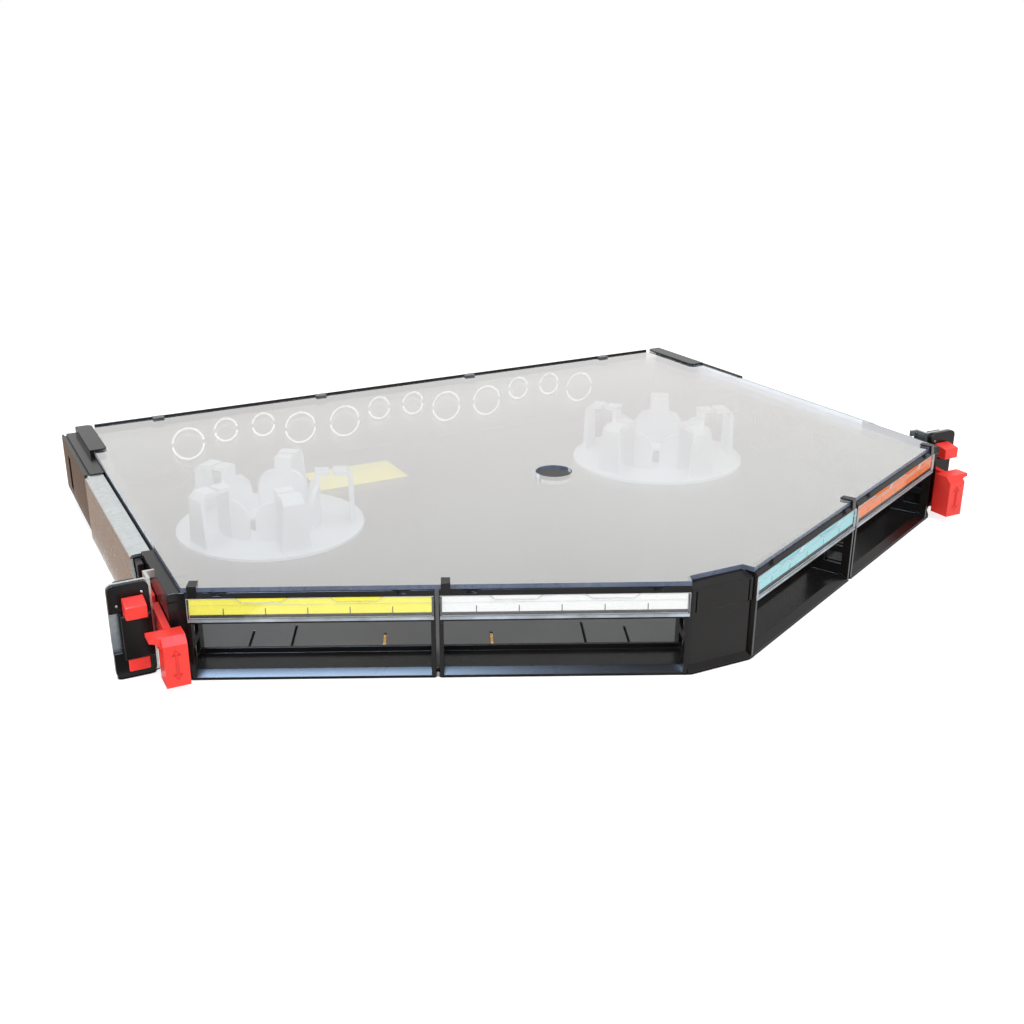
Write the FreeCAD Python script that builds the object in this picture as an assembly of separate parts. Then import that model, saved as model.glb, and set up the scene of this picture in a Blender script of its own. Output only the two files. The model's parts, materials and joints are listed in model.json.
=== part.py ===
import FreeCAD
import Part
import os
from math import cos, radians, sin, tan
from FreeCAD import Vector

# One-unit sliding fibre patch panel with a V front, for a 19 inch rack.
# Millimetres. While it is drawn, Y = 0 is the front of the nose and +Y runs to the rear;
# export moves the origin to the bottom centre of the whole unit. +X is to the right, +Z up.

# The V front
facet_angle = 25.0
nose_width = 31.0
bay_width = 106.3
bay_gap = 1.7
bays_per_side = 2
facet_end = 3.0
cheek_width = 4.0
seam = 0.3

# Overall depth and the heights of the front section
overall_depth = 360.0
unit_height = 44.0
face_top = 38.7
cover_seat = 40.6
header_base = 26.5
sill_height = 3.0
sill_toe = 0.6
sill_depth = 5.8
sill_bevel = 3.6
sill_rim = 1.4
ridge_depth = 1.2
ledge_width = 5.0
ledge_thickness = 1.6
header_wall = 3.0
nose_face = 1.6
nose_step = 0.8
nose_groove = 28.0
nose_ridge_depth = 6.8
nose_line_inset = 1.4
nose_line = 0.7
nose_wall = 4.6
nose_foot = 16.0

# Sheet and moulding thicknesses
tray_sheet = 1.2
rail_sheet = 1.5
frame_floor = 1.2
frame_wall = 1.8
frame_depth = 21.0
stop_width = 1.5
stop_top = 4.9

# Bay frame openings and the end tab that holds the cover
window_front = 4.0
window_length = 9.0
window_low = 8.0
window_height = 6.0
window_pitch = 9.5
window_rows = 2
tab_width = 4.0
tab_inset = 1.0
tab_reach = 5.0
tab_lean = 0.4
tab_sheet = 0.9
ridge_slot_place = 14.0
ridge_slot_length = 8.0
ridge_slot_width = 0.9
ridge_slot_drop = 0.8
ridge_stem_length = 4.0
ridge_stem_width = 0.8
ridge_stem_drop = 1.5

# Slots in the tray floor behind each bay, measured from the bay's end at the middle of the facet
floor_slot_places = (66.1, 85.6)
floor_slot_lengths = (21.9, 16.8)
floor_slot_front = 27.6
floor_slot_width = 1.1
insert_place = 23.7
insert_slot_front = 26.3
insert_slot_length = 14.2
insert_setback = 2.3
insert_length = 9.8
insert_width = 1.4
insert_base = 0.2

# Label strip and its clear cover
label_low = 27.5
label_high = 38.3
label_margin = 0.45
label_pocket = 1.0
label_sheet = 0.3
label_border = 0.9
paper_low = 30.5
label_rim = 0.5
label_foot = 1.8
notch_width = 22.8
notch_slope = 2.6
notch_depth = 2.0
notch_places = (0.308, 0.693)

# Tray and clear cover
cap_thickness = 6.0
wall_setback = 19.5
flange_width = 7.0
rear_tab_places = (-163.5, -55.0, 55.0, 163.5)
rear_tab_width = 7.0
rear_tab_reach = 5.0
rear_tab_thickness = 0.9
cover_thickness = 2.2
cover_setback = 1.8
cover_play = 0.3
finger_hole_radius = 9.75
finger_hole_place = 152.65
finger_hole_x = 4.3

# Knock-outs in the rear wall
knockout_groups = 3
knockout_group_pitch = 107.6
knockout_inner = 12.6
knockout_outer = 38.0
knockout_large_radius = 11.0
knockout_small_radius = 8.2
knockout_large_height = 22.9
knockout_small_height = 28.6
knockout_slit = 1.5
knockout_bridge = 2.4

# Fibre spools
spool_from_left = 85.9
spool_from_right = 73.5
spool_from_rear = 110.4
spool_radius = 54.0
spool_base = 1.6
spool_bore = 14.0
spool_height = 32.0
spool_arms = 5
spool_turn = 54.0
drum_radius = 29.5
drum_wall = 2.5
drum_height = 23.0
drum_notch_neck = 2.0
drum_notch_round = 10.0
drum_notch_steps = 3
drum_notch_base = 1.6
post_width = 10.0
post_hook = 5.5
finger_radius = 48.5
finger_wall = 2.5
finger_width = 17.0
finger_taper = 2.7
finger_bevel = 3.5
finger_hook = 8.5
hook_thickness = 2.2

# Yellow sticker on the tray floor
sticker_left = -80.0
sticker_width = 59.0
sticker_from_rear = 32.0
sticker_length = 36.0
sticker_sheet = 0.2

# End caps, latches and their pins
cap_length = 55.0
cap_wall = 1.8
cap_groove = 36.8
cap_edge = 0.4
cheek_chamfer = 3.6
cheek_chamfer_height = 8.0
latch_space = 4.0
latch_play = 0.4
latch_pad_front = 12.5
latch_pad_length = 11.0
latch_pad_inner = 3.9
latch_pad_outer = 6.6
latch_pad_low = 4.0
latch_pad_high = 26.5
latch_pad_slope = 3.2
latch_lip_reach = 5.0
latch_lip_rise = 7.0
latch_lip_edge = 1.8
latch_lip_hollow = 1.0
latch_arm_length = 44.5
latch_arm_low = 9.0
latch_arm_high = 31.0
latch_pin_setback = 37.5
latch_pin_height = 19.0
latch_pin_radius = 2.0
latch_pin_play = 0.08
latch_pin_seat = 3.2
catch_length = 6.0
catch_depth = 4.0
catch_setback = 22.0

# Rails, rack flanges and runners
flange_setback = 15.5
flange_reach = 17.8
flange_corner = 3.0
rail_base = 1.2
rail_top = 39.6
rail_leg = 10.0
rail_bend = 2.2
rail_start = 40.0
web_top = 27.0
web_slope = 5.0
web_post = 9.0
ear_height = 3.4
rack_hole = 9.7
rack_hole_reach = 9.07
rack_hole_low = 6.35
rack_hole_high = 38.1
catch_window_low = 13.0
catch_window_high = 24.0
runner_play = 0.4
runner_wall = 1.5
runner_foot = 2.0
runner_front_gap = 0.3
runner_rear_gap = 15.0
shoe_gap = 2.5
runner_hooks = 3
hook_length = 10.0
hook_height = 7.0
hook_play = 0.2
hook_nose = 1.8
hook_barb = 1.5

# Rear guide blocks
guide_length = 87.0
guide_base = 7.8
guide_top = 40.3
guide_step_length = 54.0
guide_step_top = 44.0
guide_step_reach = 7.6
guide_step_corner = 2.0
guide_riser = 2.2
guide_play = 0.4
guide_slot_length = 8.0
guide_slot_setback = 22.0
guide_slot_margin = 5.0
guide_groove = 1.5
guide_groove_depth = 1.2
guide_rim = 1.6
guide_corner = 3.0
guide_tongue = 12.0
guide_tongue_wall = 1.7
guide_tongue_low = 11.0
guide_tongue_high = 30.0

# Quick-fix rack clips
housing_plate = 2.4
housing_inset = -0.2
housing_corner = 3.0
housing_notch = 3.8
housing_notch_low = 12.0
housing_notch_high = 31.0
strap_low = 9.3
strap_high = 30.4
strap_inset = 0.4
strap_outset = 4.3
strap_height = 3.3
strap_wall = 1.2
strap_bevel = 0.7
peg_size = 9.2
peg_reach = 8.0
peg_bevel = 2.0
clip_width = 9.4
clip_place = 7.4
clip_low = 3.2
clip_high = 38.2
clip_neck = 1.5
clip_play = 0.3
clip_head_front = 8.4
clip_head_slope = 1.6

# Places that follow from the driving dimensions
angle = radians(facet_angle)
bay_pitch = bay_width + bay_gap
facet_run = bays_per_side * bay_pitch + facet_end
corner_x = nose_width / 2
end_x = corner_x + facet_run * cos(angle)
end_y = facet_run * sin(angle)
front_half = end_x + cheek_width
tray_half = front_half - cap_thickness
web_in = front_half + latch_space
web_out = web_in + rail_sheet
rack_half = web_out + flange_reach
flange_y = end_y + flange_setback
wall_front = end_y + wall_setback
tray_front = sill_depth + seam / 2
rail_front = flange_y + rail_start
rail_end = overall_depth - guide_length
leg_in = web_out - rail_leg
cover_top = cover_seat + cover_thickness
cover_hold = cover_top + cover_play
spool_y = overall_depth - spool_from_rear
spool_floor = tray_sheet + spool_base
spool_top = tray_sheet + spool_height
pin_y = end_y + latch_pin_setback
rack_hole_x = web_out + rack_hole_reach
clip_x = web_out + clip_place
runner_front = end_y + cap_length + runner_front_gap
runner_rear = overall_depth - runner_rear_gap


def block(x0, x1, y0, y1, z0, z1):
    return Part.makeBox(x1 - x0, y1 - y0, z1 - z0, Vector(x0, y0, z0))


def prism(points, direction):
    outline = [Vector(*point) for point in points]
    return Part.Face(Part.makePolygon(outline + outline[:1])).extrude(Vector(*direction))


def plate(outline, z0, z1):
    return prism([(x, y, z0) for x, y in outline], (0, 0, z1 - z0))


def along_x(section, x0, x1):
    """A section of (y, z) points drawn out from x0 to x1."""
    return prism([(x0, y, z) for y, z in section], (x1 - x0, 0, 0))


def along_y(section, y0, y1):
    """A section of (x, z) points drawn out from y0 to y1."""
    return prism([(x, y0, z) for x, z in section], (0, y1 - y0, 0))


def rounded(x0, x1, y0, y1, z0, z1, radius):
    """An upright plate that faces front, with round corners."""
    plain = block(x0, x1, y0, y1, z0, z1)
    corners = [edge for edge in plain.Edges if abs(edge.tangentAt(edge.FirstParameter).y) > 0.9]
    return plain.makeFillet(radius, corners)


def join(first, *others):
    return first.fuse(list(others)).removeSplitter()


def mirrored(shape):
    return shape.mirror(Vector(0, 0, 0), Vector(1, 0, 0))


def on_facet(shape):
    """From facet axes, along the right facet and in from its face, to the unit's axes."""
    placed = shape.copy()
    placed.rotate(Vector(0, 0, 0), Vector(0, 0, 1), facet_angle)
    placed.translate(Vector(corner_x, 0, 0))
    return placed


def facet_y(setback, x):
    """Where the right facet, moved in by setback, crosses x."""
    along = (x - corner_x + setback * sin(angle)) / cos(angle)
    return along * sin(angle) + setback * cos(angle)


def both_sides(half_outline):
    """A symmetric outline from its right half, given from the front middle to the rear middle."""
    left = [(-x, y) for x, y in reversed(half_outline) if x > 0]
    return half_outline + left


def facet_point(along, depth):
    """A point of the plan, along the right facet and in from its face."""
    return (
        corner_x + along * cos(angle) - depth * sin(angle),
        along * sin(angle) + depth * cos(angle),
    )


# Sections of the front mouldings. Points are (depth behind the face, height).
def cover_ledge(ridge, wall):
    """Top of a moulding: the ledge that carries the clear cover, from the ridge to behind the wall."""
    return [
        (ridge, cover_seat),
        (ridge + ledge_width, cover_seat),
        (ridge + ledge_width, cover_seat - ledge_thickness),
        (wall, cover_seat - ledge_thickness),
    ]


def header_section():
    face = [(header_wall, header_base), (0.0, header_base), (0.0, face_top)]
    return face + cover_ledge(ridge_depth, header_wall)


def sill_section():
    floor_top = tray_sheet + frame_floor
    return [
        (0.0, 0.0),
        (0.0, sill_toe),
        (sill_bevel, sill_height),
        (sill_bevel + sill_rim, sill_height),
        (sill_bevel + sill_rim, floor_top),
        (frame_depth - stop_width, floor_top),
        (frame_depth - stop_width, stop_top),
        (frame_depth, stop_top),
        (frame_depth, tray_sheet),
        (sill_depth, tray_sheet),
        (sill_depth, 0.0),
    ]


def closed_section(foot, groove, face_edge, ridge):
    """Section without a bay: the face steps back between the sill and the groove, and slopes at its top."""
    floor_top = tray_sheet + frame_floor
    lower_face = nose_face + nose_step
    lower = [
        (nose_wall, floor_top),
        (foot, floor_top),
        (foot, tray_sheet),
        (sill_depth, tray_sheet),
        (sill_depth, 0.0),
        (0.0, 0.0),
        (0.0, sill_toe),
        (lower_face, sill_height),
        (lower_face, groove - nose_step),
        (nose_face, groove),
        (nose_face, face_edge),
    ]
    return lower + cover_ledge(ridge, nose_wall)


def bay_frame():
    """One bay in facet axes, its near end at zero."""
    header = along_x(header_section(), 0, bay_width)
    sill = along_x(sill_section(), 0, bay_width)
    side = [
        (0.0, 0.0),
        (0.0, header_base),
        (frame_depth - frame_wall, header_base),
        (frame_depth, header_base - frame_wall),
        (frame_depth, tray_sheet),
        (sill_depth, tray_sheet),
        (sill_depth, 0.0),
    ]
    near = along_x(side, 0, frame_wall)
    far = along_x(side, bay_width - frame_wall, bay_width)
    cuts = [label_pocket_space()] + ridge_slots()
    window_rear = window_front + window_length
    for row in range(window_rows):
        low = window_low + row * window_pitch
        high = low + window_height
        cuts.append(block(-seam, bay_width + seam, window_front, window_rear, low, high))
    return join(join(header, sill, near, far).cut(cuts), end_tab())


def end_tab():
    """Hook at the far end of the bay, up in front of the clear cover's edge and back over it."""
    far = bay_width - tab_inset
    top = cover_hold + tab_sheet
    reach = cover_setback + tab_reach
    front = cover_setback - cover_play
    section = [
        (0.0, face_top),
        (tab_lean, top),
        (reach, top),
        (reach, cover_hold),
        (front, cover_hold),
        (front, cover_seat),
    ]
    return along_x(section, far - tab_width, far)


def ridge_slots():
    """T slots at the ridge of the header, one near each end of the bay."""
    slots = []
    for middle in (ridge_slot_place, bay_width - ridge_slot_place):
        for length, front, rear, drop in (
            (ridge_slot_length, ridge_depth, ridge_depth + ridge_slot_width, ridge_slot_drop),
            (ridge_stem_length, ridge_depth - ridge_stem_width, ridge_depth, ridge_stem_drop),
        ):
            near = middle - length / 2
            slots.append(block(near, near + length, front, rear, cover_seat - drop, cover_seat))
    return slots


def label_pocket_space():
    play = seam / 2
    near = label_margin - play
    far = bay_width - label_margin + play
    return block(near, far, -label_rim, label_pocket, label_low - play, label_high + play)


def label():
    near = label_margin + label_border
    far = bay_width - label_margin - label_border
    return block(near, far, label_pocket - label_sheet, label_pocket, paper_low, label_high - seam)


def label_cover():
    """Clear strip with a raised rim, a broader foot and two finger notches in its top edge."""
    near = label_margin
    far = bay_width - label_margin
    half = notch_width / 2
    notch_floor = label_high - notch_depth
    outline = [(near, label_low), (far, label_low), (far, label_high)]
    for share in reversed(notch_places):
        middle = near + (far - near) * share
        outline.append((middle + half, label_high))
        outline.append((middle + half - notch_slope, notch_floor))
        outline.append((middle - half + notch_slope, notch_floor))
        outline.append((middle - half, label_high))
    outline.append((near, label_high))
    strip = along_y(outline, -label_rim, label_pocket - label_sheet)
    pane_low = label_low + label_foot
    pane_high = notch_floor - label_border
    return strip.cut(block(near + label_border, far - label_border, -label_rim, 0, pane_low, pane_high))


def mitre_side(side, x, y):
    """All that lies left (-1) or right (+1) of the mitre through x, y."""
    reach = 2 * overall_depth
    slope = reach * tan(angle / 2)
    outline = [
        (x + slope, y - reach),
        (x - slope, y + reach),
        (x + side * reach, y + reach),
        (x + side * reach, y - reach),
    ]
    return plate(outline, -unit_height, 2 * unit_height)


def nose_cover():
    """Middle face of the V, mitred round both corners as far as the first bays."""
    section = closed_section(nose_foot, nose_groove, face_top, nose_ridge_depth)
    middle = along_x(section, 0, nose_width).common(mitre_side(-1, corner_x, 0))
    stub_end = bay_gap - seam
    stub = on_facet(along_x(section, -nose_width, stub_end)).common(mitre_side(1, corner_x, 0))
    reach = 2 * unit_height
    first_bay = on_facet(block(stub_end, nose_width, -reach, reach, -reach, reach))
    line_x = corner_x - nose_line_inset
    line_top = face_top - nose_step
    line = block(line_x - nose_line, line_x, 0, nose_face + nose_step, nose_groove, line_top)
    half = join(middle, stub).cut([first_bay, line])
    return join(half, mirrored(half))


def end_cap():
    """Right end of the V: a closed facet stretch, the flat cheek and the side that carries the latch."""
    section = closed_section(sill_depth + seam, cap_groove, cover_seat - cap_edge, nose_face + cap_edge)
    start = bays_per_side * bay_pitch + seam
    overrun = facet_end + cheek_width
    facet = on_facet(along_x(section, start, facet_run + overrun)).common(mitre_side(-1, end_x, end_y))
    cheek = along_x(section, end_x - overrun, front_half)
    cheek.translate(Vector(0, end_y, 0))
    cheek = cheek.common(mitre_side(1, end_x, end_y))
    side_front = end_y + nose_face + nose_step
    side_rear = end_y + cap_length
    side = block(tray_half, front_half, side_front, side_rear, 0, cover_seat)
    hollow_front = end_y + nose_wall
    hollow_top = cover_seat - cap_wall
    hollow_rear = side_rear - cap_wall
    hollow = block(tray_half + cap_wall, front_half - cap_wall, hollow_front, hollow_rear, -seam, hollow_top)
    boss = cross_pin(front_half - latch_pin_seat, front_half, pin_y, latch_pin_height, 2 * latch_pin_radius)
    pin_hole = cross_pin(front_half - latch_pin_seat, front_half, pin_y, latch_pin_height, latch_pin_radius)
    corner = [
        (front_half - cheek_chamfer, 0.0),
        (front_half, 0.0),
        (front_half, cheek_chamfer_height),
    ]
    chamfer = along_y(corner, end_y, end_y + nose_wall)
    return join(facet, cheek, join(side.cut(hollow), boss)).cut([pin_hole, chamfer])


def cross_pin(x0, x1, y, z, radius):
    return Part.makeCylinder(radius, x1 - x0, Vector(x0, y, z), Vector(1, 0, 0))


def knockout_slit_ring(x, z, radius):
    """Slit round one knock-out, bridged at both sides."""
    axis = Vector(0, 1, 0)
    start = Vector(x, overall_depth - 2 * tray_sheet, z)
    ring = Part.makeCylinder(radius, 3 * tray_sheet, start, axis)
    disc = Part.makeCylinder(radius - knockout_slit, 3 * tray_sheet, start, axis)
    half = knockout_bridge / 2
    bridge = block(x - 2 * radius, x + 2 * radius, start.y, overall_depth + tray_sheet, z - half, z + half)
    return ring.cut([disc, bridge])


def tray():
    """Folded sheet: V floor, two sides with a flange in under the cover, rear wall with knock-outs."""
    inner_half = tray_half - tray_sheet
    inner_rear = overall_depth - tray_sheet
    outline = [
        (0.0, tray_front),
        (corner_x - tray_front * tan(angle / 2), tray_front),
        (tray_half, facet_y(tray_front, tray_half)),
        (tray_half, overall_depth),
        (0.0, overall_depth),
    ]
    floor = plate(both_sides(outline), 0, tray_sheet)
    pieces = [block(-tray_half, tray_half, inner_rear, overall_depth, 0, cover_seat)]
    fold = [
        (inner_half, 0.0),
        (tray_half, 0.0),
        (tray_half, cover_seat),
        (tray_half - flange_width, cover_seat),
        (tray_half - flange_width, cover_seat - tray_sheet),
        (inner_half, cover_seat - tray_sheet),
    ]
    side = along_y(fold, wall_front, overall_depth)
    pieces += [side, mirrored(side)]
    tab_top = cover_hold + rear_tab_thickness
    for x in rear_tab_places:
        near = x - rear_tab_width / 2
        far = x + rear_tab_width / 2
        pieces.append(block(near, far, inner_rear, overall_depth, cover_seat, tab_top))
        pieces.append(block(near, far, overall_depth - rear_tab_reach, overall_depth, cover_hold, tab_top))
    slits = []
    for group in range(knockout_groups):
        middle = (group - (knockout_groups - 1) / 2) * knockout_group_pitch
        for side_sign in (-1, 1):
            large_x = middle + side_sign * knockout_outer
            small_x = middle + side_sign * knockout_inner
            slits.append(knockout_slit_ring(large_x, knockout_large_height, knockout_large_radius))
            slits.append(knockout_slit_ring(small_x, knockout_small_height, knockout_small_radius))
    windows = runner_hook_windows()
    windows += [mirrored(window) for window in windows]
    return join(floor, *pieces).cut(slits + floor_slots() + windows)


def bay_place(number, place):
    """Along the facet, place is measured from the bay's end that faces its neighbour."""
    near = bay_gap + number * bay_pitch
    return near + place if number % 2 else near + bay_width - place


def floor_slots():
    slots = []
    for number in range(bays_per_side):
        for place, length in zip(floor_slot_places, floor_slot_lengths):
            near = bay_place(number, place) - floor_slot_width / 2
            far = near + floor_slot_width
            rear = floor_slot_front + length
            slots.append(on_facet(block(near, far, floor_slot_front, rear, 0, tray_sheet)))
        near = bay_place(number, insert_place) - insert_width / 2
        far = near + insert_width
        rear = insert_slot_front + insert_slot_length
        slots.append(on_facet(block(near, far, insert_slot_front, rear, 0, tray_sheet)))
    return slots + [mirrored(slot) for slot in slots]


def floor_inserts():
    """Brass inserts pressed between the sides of the short floor slots, one behind each bay."""
    solids = []
    for number in range(bays_per_side):
        near = bay_place(number, insert_place) - insert_width / 2
        far = near + insert_width
        front = insert_slot_front + insert_setback
        rear = front + insert_length
        solids.append(on_facet(block(near, far, front, rear, insert_base, tray_sheet)))
    return Part.makeCompound(solids + [mirrored(solid) for solid in solids])


def top_cover():
    """Clear sheet that lies on the mouldings and the tray's flanges, stepped back behind the nose."""
    nose_edge = nose_ridge_depth + cover_setback - ridge_depth
    step = bay_gap - seam / 2
    rear_edge = overall_depth - tray_sheet - cover_play
    outline = [
        (0.0, nose_edge),
        facet_point(step, (nose_edge - step * sin(angle)) / cos(angle)),
        facet_point(step, cover_setback),
        (tray_half, facet_y(cover_setback, tray_half)),
        (tray_half, rear_edge),
        (0.0, rear_edge),
    ]
    sheet = plate(both_sides(outline), cover_seat, cover_top)
    middle = Vector(finger_hole_x, finger_hole_place, cover_seat)
    return sheet.cut(Part.makeCylinder(finger_hole_radius, cover_thickness, middle))


def spool_arm():
    """One inner post with its hook and the outer finger that faces it, along +X from the spool's axis."""
    hook_base = spool_top - hook_thickness
    drum_in = drum_radius - drum_wall
    post = [
        (drum_in, tray_sheet),
        (drum_radius, tray_sheet),
        (drum_radius, hook_base),
        (drum_radius + post_hook, hook_base),
        (drum_radius + post_hook, spool_top),
        (drum_in, spool_top),
    ]
    finger_in = finger_radius - finger_wall
    finger = [
        (finger_in, tray_sheet),
        (finger_radius, tray_sheet),
        (finger_radius, spool_top - finger_bevel),
        (finger_radius - finger_bevel, spool_top),
        (finger_in - finger_hook, spool_top),
        (finger_in - finger_hook, hook_base),
        (finger_in, hook_base),
    ]
    half = finger_width / 2
    face = [
        (-half, tray_sheet),
        (half, tray_sheet),
        (half - finger_taper, spool_top),
        (finger_taper - half, spool_top),
    ]
    tapered = along_y(finger, -half, half).common(along_x(face, 0, spool_radius))
    return [along_y(post, -post_width / 2, post_width / 2), tapered]


def drum_notch():
    """Notch in the drum's wall along +X: a narrow neck that opens between two round shoulders."""
    shoulder = spool_floor + drum_height - drum_notch_round
    mouth = drum_notch_neck + drum_notch_round
    flank = [(drum_notch_neck, spool_floor + drum_notch_base)]
    for step in range(drum_notch_steps + 1):
        turn = radians(90.0 * step / drum_notch_steps)
        flank.append((mouth - drum_notch_round * cos(turn), shoulder + drum_notch_round * sin(turn)))
    return along_x(both_sides(flank), 0, spool_radius)


def spool(from_side):
    """Right spool: base ring, notched drum, and hooked posts and fingers."""
    base = Part.makeCylinder(spool_radius, spool_base, Vector(0, 0, tray_sheet))
    drum_high = spool_floor + drum_height
    drum = Part.makeCylinder(drum_radius, drum_high - tray_sheet, Vector(0, 0, tray_sheet))
    drum_in = Part.makeCylinder(drum_radius - drum_wall, drum_height, Vector(0, 0, spool_floor))
    notches = []
    arms = []
    for number in range(spool_arms):
        turn = 360.0 / spool_arms
        cut = drum_notch()
        cut.rotate(Vector(0, 0, 0), Vector(0, 0, 1), turn * (number + 0.5) + spool_turn)
        notches.append(cut)
        for arm in spool_arm():
            arm.rotate(Vector(0, 0, 0), Vector(0, 0, 1), turn * number + spool_turn)
            arms.append(arm)
    bore = Part.makeCylinder(spool_bore, spool_height, Vector(0, 0, tray_sheet))
    wall = drum.cut([drum_in] + notches)
    placed = join(base, wall, *arms).cut(bore)
    placed.translate(Vector(tray_half - from_side, spool_y, 0))
    return placed


def sticker():
    rear = overall_depth - sticker_from_rear
    right = sticker_left + sticker_width
    return block(sticker_left, right, rear - sticker_length, rear, tray_sheet, tray_sheet + sticker_sheet)


def runner():
    """Channel on the right tray side, open outward, that runs inside the rail; a shoe closes its front."""
    low = rail_base + rail_sheet + runner_play
    high = rail_top - rail_sheet - runner_play
    outer = web_in - runner_play
    back = tray_half + runner_wall
    section = [
        (tray_half, low),
        (outer, low),
        (outer, low + runner_foot),
        (back, low + runner_foot),
        (back, high - runner_foot),
        (outer, high - runner_foot),
        (outer, high),
        (tray_half, high),
    ]
    channel = along_y(section, runner_front, runner_rear)
    plug = block(tray_half, outer, runner_front, runner_front + runner_wall, low, high)
    shoe_front = end_y + latch_arm_length + shoe_gap
    shoe = block(front_half + runner_play, outer, shoe_front, runner_front, low, high)
    return join(channel, plug, shoe, *[runner_hook(y) for y in runner_hook_places()])


def runner_hook_places():
    step = (runner_rear - runner_front) / runner_hooks
    return [runner_front + step * (number + 0.5) for number in range(runner_hooks)]


def runner_hook(y):
    """Snap hook on the runner, through its window in the tray side and down behind the sheet."""
    low = (rail_base + rail_top - hook_height) / 2
    behind = tray_half - tray_sheet - hook_play
    section = [
        (tray_half + runner_wall, low),
        (tray_half + runner_wall, low + hook_height),
        (behind, low + hook_height),
        (behind - hook_nose, low + hook_height - hook_nose),
        (behind - hook_nose, low),
        (behind, low - hook_barb),
        (behind, low),
    ]
    return along_y(section, y - hook_length / 2, y + hook_length / 2)


def runner_hook_windows():
    low = (rail_base + rail_top - hook_height) / 2 - hook_play
    high = low + hook_height + 2 * hook_play
    half = hook_length / 2 + hook_play
    inside = tray_half - tray_sheet
    return [block(inside, tray_half, y - half, y + half, low, high) for y in runner_hook_places()]


def latch():
    """Red lever: front pad with an outward thumb lip, and the arm that turns on the pin."""
    pad_front = end_y - latch_pad_front
    pad_rear = pad_front + latch_pad_length
    inner = front_half - latch_pad_inner
    outer = front_half + latch_pad_outer
    arm_end = end_y + latch_arm_length
    pad = [
        (pad_front, latch_pad_low),
        (pad_front, latch_pad_high - latch_pad_slope),
        (pad_front + latch_pad_slope, latch_pad_high),
        (pad_rear, latch_pad_high),
        (pad_rear, latch_pad_low),
    ]
    arm = [
        (pad_rear, latch_pad_low),
        (pad_rear, latch_pad_high),
        (arm_end - latch_pad_slope, latch_arm_high),
        (arm_end, latch_arm_high - latch_pad_slope),
        (arm_end, latch_arm_low + latch_pad_slope),
        (arm_end - latch_pad_slope, latch_arm_low),
        (pad_rear + latch_pad_length, latch_arm_low),
        (pad_rear + latch_pad_slope, latch_pad_low),
    ]
    arm_in = front_half + latch_play
    arm_out = web_in - latch_play
    catch_front = end_y + catch_setback
    catch_floor = latch_pad_high - catch_depth / 2
    notch = block(arm_in, arm_out, catch_front, catch_front + catch_length, catch_floor, unit_height)
    hole = cross_pin(arm_in, arm_out, pin_y, latch_pin_height, latch_pin_radius + latch_pin_play)
    lever = join(
        along_x(pad, inner, outer),
        latch_lip(outer, pad_front + latch_pad_slope, pad_rear),
        along_x(arm, arm_in, arm_out),
    )
    return lever.cut([notch, hole])


def latch_lip(root, front, rear):
    """Thumb lip that flares outward at the top of the pad, hollow underneath."""
    low = Vector(root, front, latch_pad_high - latch_lip_rise)
    tip_low = Vector(root + latch_lip_reach, front, latch_pad_high - latch_lip_edge)
    tip_high = Vector(root + latch_lip_reach, front, latch_pad_high)
    high = Vector(root, front, latch_pad_high)
    hollow = (low + tip_low) / 2 + Vector(-latch_lip_hollow, 0, latch_lip_hollow)
    edges = [
        Part.Arc(low, hollow, tip_low).toShape(),
        Part.makeLine(tip_low, tip_high),
        Part.makeLine(tip_high, high),
        Part.makeLine(high, low),
    ]
    return Part.Face(Part.Wire(edges)).extrude(Vector(0, rear - front, 0))


def latch_pin():
    inner = front_half - latch_pin_seat
    return cross_pin(inner, web_in - latch_play, pin_y, latch_pin_height, latch_pin_radius)


def rack_hole_spaces(size):
    half = size / 2
    spaces = []
    for z in (rack_hole_low, rack_hole_high):
        spaces.append((rack_hole_x - half, rack_hole_x + half, z - half, z + half))
    return spaces


def rail():
    """Right rail, folded from one sheet: channel, forward web, post with its ear, and the rack flange."""
    channel = [
        (leg_in, rail_base),
        (web_out, rail_base),
        (web_out, rail_top),
        (leg_in, rail_top),
        (leg_in, rail_top - rail_sheet),
        (web_in, rail_top - rail_sheet),
        (web_in, rail_base + rail_sheet),
        (leg_in, rail_base + rail_sheet),
    ]
    flange_back = flange_y + rail_sheet
    flange = rounded(web_in, rack_half, flange_y, flange_back, 0, unit_height, flange_corner)
    post_rear = flange_y + web_post
    post = block(web_in, web_out, flange_y, post_rear, 0, unit_height)
    ear_in = front_half + latch_play
    ear = block(ear_in, web_in, post_rear - rail_sheet, post_rear, unit_height - ear_height, unit_height)
    side = [
        (flange_y, rail_base),
        (rail_front, rail_base),
        (rail_front, rail_top - rail_bend),
        (rail_front - web_slope, web_top),
        (flange_y, web_top),
    ]
    web = along_x(side, web_in, web_out)
    bent = along_y(channel, rail_front, rail_end)
    bends = [edge for edge in bent.Edges if edge.BoundBox.XMin > web_in and edge.Length > rail_leg]
    bent = bent.makeFillet(rail_bend, [edge for edge in bends if edge.BoundBox.ZLength < rail_sheet])
    folded = join(bent, flange, post, ear, web)
    cuts = [block(x0, x1, flange_y, flange_back, z0, z1) for x0, x1, z0, z1 in rack_hole_spaces(rack_hole)]
    front = end_y + catch_setback
    cuts.append(block(web_in, web_out, front, front + catch_length, catch_window_low, catch_window_high))
    return folded.cut(cuts)


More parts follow.
